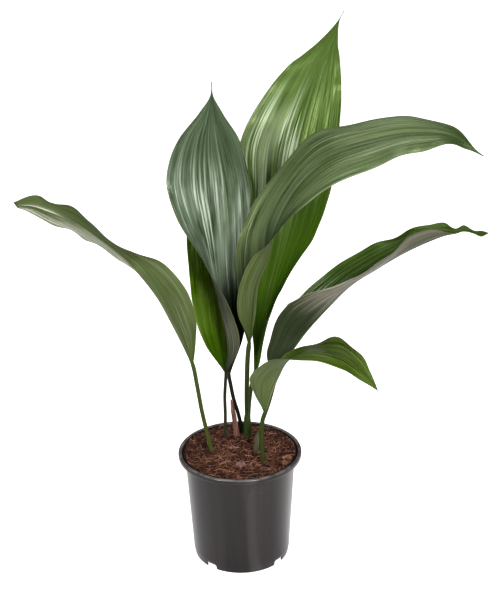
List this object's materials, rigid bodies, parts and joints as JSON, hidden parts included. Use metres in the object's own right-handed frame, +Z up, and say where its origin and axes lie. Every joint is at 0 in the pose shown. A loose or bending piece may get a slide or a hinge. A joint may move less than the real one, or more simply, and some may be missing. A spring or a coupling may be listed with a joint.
{
  "type": "potted cast iron plant",
  "caption": "Potted cast iron plant: broad pointed leathery leaves on slim stalks rising from a creeping rhizome in coir compost, in a round plastic nursery pot with a rolled lip.",
  "frame": {"origin": "middle of the foot pad under the pot, on the ground and on the pot's axis", "axes": "+Z up along the pot's axis; -Y is the front, from which the upright leaves show their upper sides; +X is to the right, the way the long arching leaves reach"},
  "size_m": [0.5096, 0.2002, 0.601],
  "materials": {
    "pot": "satin",
    "soil": "matte",
    "rhizome": "matte",
    "leaf_olive": "satin",
    "leaf_dark": "satin",
    "leaf_bright": "satin",
    "leaf_mid": "satin",
    "sheath_brown": "matte",
    "sheath_green": "satin",
    "sheath_olive": "matte",
    "bark_orange": "matte",
    "bark_grey": "matte"
  },
  "bodies": {
    "root": {"pot": "pot", "soil": "soil", "rhizome": "rhizome", "leaf_left_arching": "leaf_olive", "leaf_front_upright": "leaf_dark", "leaf_back_tall": "leaf_bright", "leaf_right_arching": "leaf_mid", "leaf_back_left": "leaf_bright", "leaf_right_long": "leaf_mid", "leaf_front_low": "leaf_bright", "sheath_brown": "sheath_brown", "sheath_green": "sheath_green", "sheath_olive": "sheath_olive", "bark_chip_1": "bark_orange", "bark_chip_2": "bark_orange", "bark_chip_3": "bark_grey"}
  },
  "joints": []
}
